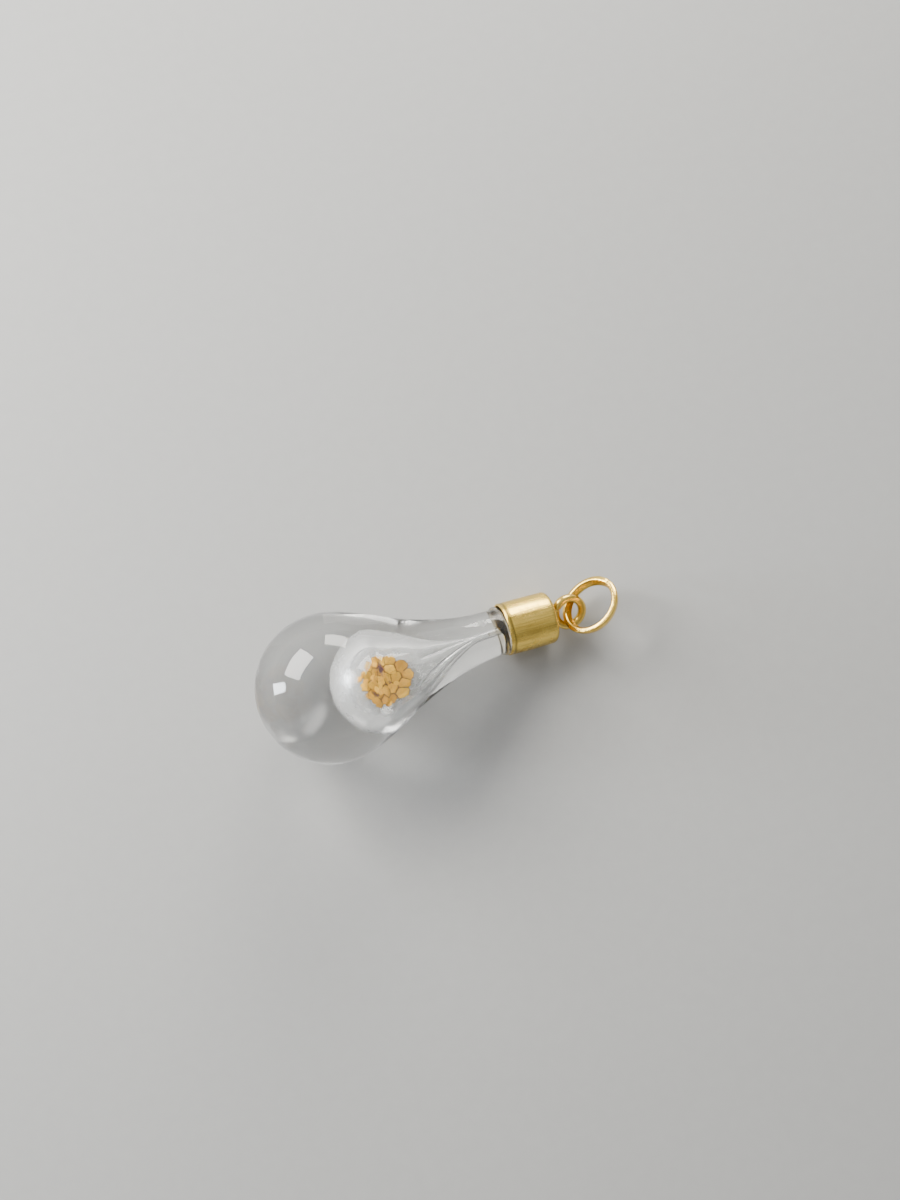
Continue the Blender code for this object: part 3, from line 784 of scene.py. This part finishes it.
def make_solder(settings):
    """A low dome round the eye's root and one small stray drop beside it.

    Both are turned quarter and half circles, made lumpy by two sines of the angle round them."""
    metal = drawn_wire("dull_solder", tuple(settings.solder))

    def lumps(x, r, angle):
        return r * (0.07 * np.sin(3 * angle + 0.5) + 0.05 * np.sin(5 * angle + 2.0))

    def lump(name, outline, columns, place, inner, *replaced):
        points, faces, fans = closed_turning(outline, columns, place, CAP_AXES, lumps)
        mesh = build_mesh(name, points, faces, fans)
        point_vectors(mesh, "lay", points / MM)
        # Painted shade: the inner value darkens the whole lump evenly, through the wire material's painted
        # inner shade.
        point_values(mesh, "inner", np.full(len(points), inner))
        return finish_piece(name, mesh, metal, "vial", "solder", *replaced, sharp_deg=60)

    dome = arc(0.0, 0.0, 1.0, 0.0, 90.0, 14)
    dome = np.stack([CAP_LENGTH - 0.02 + 0.37 * dome[:, 0], 0.86 * dome[:, 1]], axis=1)
    dome = np.concatenate([dome, [(CAP_LENGTH - 0.025, 0.84), (CAP_LENGTH - 0.025, 0.0)]])
    fillet = lump("solder_fillet", dome, 72, CAP_ORIGIN, 0.4, "solder_bead")
    drop = arc(0.0, 0.0, 1.0, 180.0, 0.0, 14)
    drop = np.stack([CAP_LENGTH + 0.10 + 0.13 * drop[:, 0], 0.17 * drop[:, 1]], axis=1)
    beside = (-1.42 * CAP_AXES[1] + 0.35 * CAP_AXES[2]) * MM
    return fillet, lump("solder_drop", drop, 28, CAP_ORIGIN + beside, 0.2)


def make_jump_ring(settings):
    """A rounded flat wire bent to a circle; its two cut ends meet with a small step.

    The centre line is a circle with a slow rise along its normal; the section is a superellipse that is a
    little pinched next to the cut."""
    rows = 240
    normal = Vector(RING_NORMAL).normalized()
    first = normal.orthogonal().normalized()
    basis = np.array([first, normal.cross(first), normal]) @ CAP_AXES
    half_gap = 0.5 * RING_SEAM_GAP / RING_R
    t = np.linspace(0.0, 1.0, rows)
    angle = math.radians(RING_SEAM_DEG) + half_gap + t * (2 * math.pi - 2 * half_gap)
    circle = np.cos(angle)[:, None] * basis[0] + np.sin(angle)[:, None] * basis[1]
    step = RING_SEAM_STEP * (t - 0.5) + 0.05 * np.sign(t - 0.5) * ease(1.0 - np.minimum(t, 1.0 - t) / 0.04)
    centre = EYE_CENTRE + np.array(RING_OFFSET) * MM @ CAP_AXES
    path = centre + (RING_R * circle + step[:, None] * basis[2]) * MM
    lean = math.radians(RING_LEAN_DEG)
    leaning = np.array([[math.cos(lean), -math.sin(lean)], [math.sin(lean), math.cos(lean)]])
    flat = superellipse(*RING_BAND_HALF, 3.4, 48)
    section = flat @ leaning
    pinch = 1.0 - 0.06 * ease(1.0 - np.minimum(t, 1.0 - t) / 0.03)
    wobble = pinch * (1.0 + 0.015 * np.sin(5 * angle))
    points = sweep(path, basis[2], section[None, :, :] * wobble[:, None, None], closed=False)
    faces, ends = closed_faces(rows, len(section))
    mesh = build_mesh("open_jump_ring", np.vstack([points, path[0], path[-1]]), faces, ends)
    wire_values(mesh, rows, flat, 5, extra=2)
    gold = drawn_wire("gold_ring_wire", shade(tuple(settings.wire), 1.03))
    return finish_piece("open_jump_ring", mesh, gold, "jump_ring", "gold_wire", "jump_ring", sharp_deg=40)


# ------------------------------------------------------------
# Gold flakes

FLAKE_THICKNESS = 0.1
CRUMB_THICKNESS = 0.04


def heap_points(name):
    """A CAD flake's corners, once each, in the heap's frame in mm."""
    mesh = frame["nodes"][name].data
    points = np.empty(len(mesh.vertices) * 3)
    mesh.vertices.foreach_get("co", points)
    local = (points.reshape(-1, 3) - HEAP_ORIGIN) @ HEAP_AXES.T / MM
    return np.unique(np.round(local, 3), axis=0)


def flake_plan(name):
    """A CAD flake as its middle, its corners in order round it, and its plane z = a + b x + c y."""
    points = heap_points(name)
    crown = points[np.argmin(np.linalg.norm(points[:, :2] - points[:, :2].mean(0), axis=1))]
    corners = points[np.linalg.norm(points[:, :2] - crown[:2], axis=1) > 0.05]
    design = np.column_stack([np.ones(len(corners)), corners[:, :2]])
    plane = np.linalg.lstsq(design, corners[:, 2], rcond=None)[0]
    offset = corners[:, :2] - crown[:2]
    order = np.argsort(np.arctan2(offset[:, 1], offset[:, 0]))
    return crown[:2], offset[order], plane


def radial_reach(offset, angle):
    """Distance from the middle to the outline in each direction: the nearest of the lines along its edges."""
    following = np.roll(offset, -1, axis=0)
    edge = following - offset
    length = np.linalg.norm(edge, axis=1)
    keep = length > 0.02
    normal = np.stack([edge[keep, 1], -edge[keep, 0]], axis=1) / length[keep, None]
    distance = np.einsum("ij,ij->i", normal, offset[keep])
    direction = np.stack([np.cos(angle), np.sin(angle)], axis=1)
    facing = direction @ normal.T
    reach = np.where(facing > 1e-3, distance / np.maximum(facing, 1e-3), 9.0)
    return reach.min(axis=1)


def crumple(x, y, chance, strength):
    """Folds in a thin sheet: a few creased waves |sin|, each with its own direction and length."""
    height = np.zeros_like(x)
    for wave in (1.1, 2.0, 3.4):
        turn, phase = chance.uniform(0, 2 * math.pi, 2)
        along = wave * 2.6 * (x * math.cos(turn) + y * math.sin(turn)) + phase
        height += np.abs(np.sin(along)) / wave
    return strength * (height - height.mean())


def flake_points(middle, reach, plane, angle, chance, strength, rings, thickness=FLAKE_THICKNESS):
    """Top and bottom sheets on a polar grid (angle, part of the reach), joined round a thin rim."""
    part = np.linspace(0.0, 1.0, rings + 1)[1:, None]
    x = part * (reach * np.cos(angle))[None, :]
    y = part * (reach * np.sin(angle))[None, :]
    fold = crumple(x, y, chance, strength)
    level = plane[0] + plane[1] * (middle[0] + x) + plane[2] * (middle[1] + y) + fold
    half = 0.5 * thickness * np.sqrt(np.clip(1.0 - 0.8 * part**6, 0.0, 1.0))
    top = np.stack([middle[0] + x, middle[1] + y, level + half], axis=-1)
    bottom = np.stack([middle[0] + x, middle[1] + y, level - half], axis=-1)[::-1]
    centre = np.array([middle[0], middle[1], level[0].mean()])
    lift = np.array([0.0, 0.0, 0.5 * thickness])
    return np.vstack([np.concatenate([top, bottom]).reshape(-1, 3), centre + lift, centre - lift])


def make_flake(name, number, settings, gold):
    """One flake: the CAD flake's outline, made ragged and crumpled."""
    chance = np.random.default_rng(1000 + number)
    middle, offset, plane = flake_plan(name)
    columns, rings = 48, 9
    angle = around(columns)
    ragged = 1.0 + 0.035 * np.sin(5 * angle + chance.uniform(0, 6)) + 0.03 * chance.uniform(-1, 1, columns)
    reach = radial_reach(offset, angle) * np.minimum(ragged * 1.03, 1.08)
    points = flake_points(middle, reach, plane, angle, chance, settings.crumple / MM, rings)
    faces, fans = closed_faces(2 * rings, columns)
    mesh = build_mesh(f"leaf_{number:02d}", HEAP_ORIGIN + points * MM @ HEAP_AXES, faces, fans)
    part = np.linspace(0.0, 1.0, rings + 1)[1:]
    rim = np.repeat(np.concatenate([part, part[::-1]]), columns)
    point_values(mesh, "rim", np.concatenate([rim, [0.0, 0.0]]))
    point_values(mesh, "tone", np.full(len(points), chance.uniform(0.0, 1.0)))
    return finish_piece(f"leaf_{number:02d}", mesh, gold, "gold_heap", "gold_flake", name, sharp_deg=40)


def make_crumbs(settings, gold):
    """Small broken chips over the top layer, all in one mesh.

    They lie at random in an oval, at a height that falls with the square of the distance from its middle."""
    chance = np.random.default_rng(7)
    columns, rings = 9, 2
    angle = around(columns)
    points, quad_faces, fans, rims, tones = [], [], [], [], []
    faces, caps = closed_faces(2 * rings, columns)
    size = 2 * rings * columns + 2
    for number in range(settings.crumbs):
        turn, out = chance.uniform(0, 2 * math.pi), math.sqrt(chance.uniform(0, 1))
        middle = np.array([0.25 + 2.3 * out * math.cos(turn), 2.0 * out * math.sin(turn)])
        height = -0.585 - 0.05 * (middle**2).sum() + chance.uniform(-0.03, 0.03)
        tilt = chance.uniform(-0.25, 0.25, 2)
        plane = (height - tilt @ middle, *tilt)
        reach = chance.uniform(0.20, 0.36) * chance.uniform(0.75, 1.15, columns)
        points.append(flake_points(middle, reach, plane, angle, chance, 0.004, rings, CRUMB_THICKNESS))
        quad_faces.append(faces + number * size)
        fans.append(caps + number * size)
        # The outer rings' rim value of 0.9 gives each crumb a little painted shade at its rim.
        part = np.repeat([0.5, 0.9, 0.9, 0.5], columns)
        rims.append(np.concatenate([part, [0.0, 0.0]]))
        tones.append(np.full(size, chance.uniform(0.0, 1.0)))
    place = HEAP_ORIGIN + np.vstack(points) * MM @ HEAP_AXES
    mesh = build_mesh("leaf_crumbs", place, np.vstack(quad_faces), np.vstack(fans))
    point_values(mesh, "rim", np.concatenate(rims))
    point_values(mesh, "tone", np.concatenate(tones))
    return finish_piece("leaf_crumbs", mesh, gold, "gold_heap", "gold_flake", sharp_deg=40)


# ------------------------------------------------------------
# Stage

def camera_axes(settings):
    """The camera's right, up and backward directions."""
    elevation, azimuth = settings.elevation, settings.azimuth
    outward = np.array([math.cos(azimuth), math.sin(azimuth), 0.0])
    back = math.cos(elevation) * outward + np.array([0.0, 0.0, math.sin(elevation)])
    right = np.array([-math.sin(azimuth), math.cos(azimuth), 0.0])
    return right, np.cross(back, right), back


# The height in view at the vial, and the bulb's place right of and above the middle of the view, in mm
VIEW_HEIGHT = 94.4882
BULB_RIGHT, BULB_ABOVE = -9.37008, -6.92913
SENSOR_HEIGHT = 36.0
FLOOR_HALF = 0.6


def make_camera(settings):
    """A camera at the settings' angle; the bulb's centre lies left of and below the middle of its view."""
    right, up, back = camera_axes(settings)
    target = VIAL_ORIGIN - (BULB_RIGHT * right + BULB_ABOVE * up) * MM
    data = bpy.data.cameras.new("camera")
    data.sensor_fit = "VERTICAL"
    data.sensor_height = SENSOR_HEIGHT
    data.lens = data.sensor_height * settings.distance / (VIEW_HEIGHT * MM)
    data.clip_start = 0.005
    data.clip_end = 10.0
    camera = bpy.data.objects.new("camera", data)
    bpy.context.scene.collection.objects.link(camera)
    rotation = np.eye(4)
    rotation[:3, 0], rotation[:3, 1], rotation[:3, 2] = right, up, back
    rotation[:3, 3] = target + settings.distance * back
    camera.matrix_world = Matrix(rotation.tolist())
    bpy.context.scene.camera = camera
    return camera


def make_floor(settings):
    """A flat square with a faint grain."""
    mesh = bpy.data.meshes.new("floor")
    half = FLOOR_HALF
    corners = [(-half, -half, 0), (half, -half, 0), (half, half, 0), (-half, half, 0)]
    mesh.from_pydata(corners, [], [(0, 1, 2, 3)])
    material, nodes, links, shader = new_material("pale_floor")
    where = object_coordinates(nodes)
    grain = noise(nodes, links, where, 900.0, 3.0)
    tone = tuple(settings.floor)
    links.new(ramp(nodes, links, grain, [(0.3, shade(tone, 0.97)), (0.7, tone)]), shader.inputs["Base Color"])
    shader.inputs["Roughness"].default_value = 0.6
    mesh.materials.append(material)
    floor = bpy.data.objects.new("floor", mesh)
    bpy.context.scene.collection.objects.link(floor)
    return floor


# Each window's name, middle, width, height and share of the window power, and its colour
WINDOWS = (
    ("window", (-0.118, 0.149, 0.131), 0.15, 0.11, 1.0, (1.0, 0.98, 0.94)),
    ("cap_window", (0.078, 0.167, 0.078), 0.09, 0.07, 0.3, (1.0, 0.97, 0.90)),
    ("side_window", (-0.213, 0.071, 0.047), 0.045, 0.09, 0.5, (0.90, 0.95, 1.0)),
)
LIGHT_AIM = (0.0, 0.0, 0.003)
SKY_BY_HEIGHT = [(0.5, 1.3), (0.57, 1.1), (0.66, 0.35), (0.85, 0.55), (1.0, 1.0)]
SKY_BY_SIDE = [(0.15, 0.6), (0.85, 1.0)]
SKY_STRENGTH = 1.05


def area_light(name, place, width, height, power, tint):
    data = bpy.data.lights.new(name, "AREA")
    data.shape = "RECTANGLE"
    data.size = width
    data.size_y = height
    data.energy = power
    data.color = tint
    light = bpy.data.objects.new(name, data)
    light.location = place
    light.rotation_euler = (Vector(LIGHT_AIM) - Vector(place)).to_track_quat("-Z", "Y").to_euler()
    bpy.context.scene.collection.objects.link(light)
    return light


def make_lights(settings):
    """Three windows beyond the vial, and a soft sky, brightest near the horizon and on the windows' side."""
    for name, place, width, height, share, tint in WINDOWS:
        area_light(name, place, width, height, settings.key_power * share, tint)
    world = bpy.data.worlds.new("studio")
    world.use_nodes = True
    nodes, links = world.node_tree.nodes, world.node_tree.links
    background = nodes["Background"]
    direction = nodes.new("ShaderNodeTexCoord").outputs["Generated"]
    split = nodes.new("ShaderNodeSeparateXYZ")
    links.new(direction, split.inputs["Vector"])
    sky = ramp(nodes, links, scaled(nodes, links, split.outputs["Z"], 0.5, 0.5), SKY_BY_HEIGHT)
    links.new(sky, background.inputs["Color"])
    sided = ramp(nodes, links, scaled(nodes, links, split.outputs["Y"], 0.5, 0.5), SKY_BY_SIDE)
    links.new(scaled(nodes, links, sided, SKY_STRENGTH), background.inputs["Strength"])
    bpy.context.scene.world = world


# ------------------------------------------------------------
# Operators and panel

class VIAL_OT_glass(bpy.types.Operator):
    """Make the glass body with its chamber and folded funnel"""

    bl_idname = "vial.glass"
    bl_label = "Glass Body"

    def execute(self, context):
        make_glass(context.scene.vial_glass)
        return {"FINISHED"}


class VIAL_OT_resin(bpy.types.Operator):
    """Make the resin in the bore and the glue at the cap's rim"""

    bl_idname = "vial.resin"
    bl_label = "Resin and Glue"

    def execute(self, context):
        make_plug(context.scene.vial_glass)
        make_adhesive(context.scene.vial_glass)
        return {"FINISHED"}


class VIAL_OT_cap(bpy.types.Operator):
    """Make the brushed brass cap"""

    bl_idname = "vial.cap"
    bl_label = "Brass Cap"

    def execute(self, context):
        make_cap(context.scene.vial_metal)
        return {"FINISHED"}


class VIAL_OT_eye(bpy.types.Operator):
    """Make the wire eye, its peg and the solder that holds them"""

    bl_idname = "vial.eye"
    bl_label = "Eye and Solder"

    def execute(self, context):
        make_eye(context.scene.vial_metal)
        make_solder(context.scene.vial_metal)
        return {"FINISHED"}


class VIAL_OT_jump_ring(bpy.types.Operator):
    """Make the open jump ring"""

    bl_idname = "vial.jump_ring"
    bl_label = "Jump Ring"

    def execute(self, context):
        make_jump_ring(context.scene.vial_metal)
        return {"FINISHED"}


class VIAL_OT_gold(bpy.types.Operator):
    """Make the gold flakes and the crumbs between them"""

    bl_idname = "vial.gold"
    bl_label = "Gold Flakes"

    def execute(self, context):
        settings = context.scene.vial_gold
        gold = gold_leaf(tuple(settings.leaf), tuple(settings.painted_rim_shade))
        names = sorted(name for name in frame["nodes"] if name.startswith("gold_flake"))
        if not names:
            raise RuntimeError("the frame has no gold flakes to stand for")
        for number, name in enumerate(names, 1):
            make_flake(name, number, settings, gold)
        make_crumbs(settings, gold)
        return {"FINISHED"}


class VIAL_OT_stage(bpy.types.Operator):
    """Make the floor, the lights and the camera"""

    bl_idname = "vial.stage"
    bl_label = "Stage"

    def execute(self, context):
        settings = context.scene.vial_stage
        make_floor(settings)
        make_lights(settings)
        make_camera(settings)
        return {"FINISHED"}


class VIAL_PT_panel(bpy.types.Panel):
    """The vial's pieces and settings"""

    bl_idname = "VIAL_PT_panel"
    bl_label = "Gold Flake Vial"
    bl_space_type = "VIEW_3D"
    bl_region_type = "UI"
    bl_category = "Vial"

    def draw(self, context):
        for operator in OPERATORS:
            self.layout.operator(operator.bl_idname)


SETTINGS = {
    "vial_glass": VialGlassSettings,
    "vial_metal": VialMetalSettings,
    "vial_gold": VialGoldSettings,
    "vial_stage": VialStageSettings,
}
OPERATORS = (
    VIAL_OT_glass, VIAL_OT_resin, VIAL_OT_cap, VIAL_OT_eye, VIAL_OT_jump_ring, VIAL_OT_gold, VIAL_OT_stage,
)


def register():
    for name, group in SETTINGS.items():
        bpy.utils.register_class(group)
        setattr(bpy.types.Scene, name, bpy.props.PointerProperty(type=group))
    for operator in OPERATORS:
        bpy.utils.register_class(operator)
    bpy.utils.register_class(VIAL_PT_panel)


def unregister():
    bpy.utils.unregister_class(VIAL_PT_panel)
    for operator in reversed(OPERATORS):
        bpy.utils.unregister_class(operator)
    for name, group in SETTINGS.items():
        delattr(bpy.types.Scene, name)
        bpy.utils.unregister_class(group)


def main():
    register()
    bpy.ops.vial.glass()
    bpy.ops.vial.resin()
    bpy.ops.vial.cap()
    bpy.ops.vial.eye()
    bpy.ops.vial.jump_ring()
    bpy.ops.vial.gold()
    bpy.ops.vial.stage()


if __name__ == "__main__":
    main()
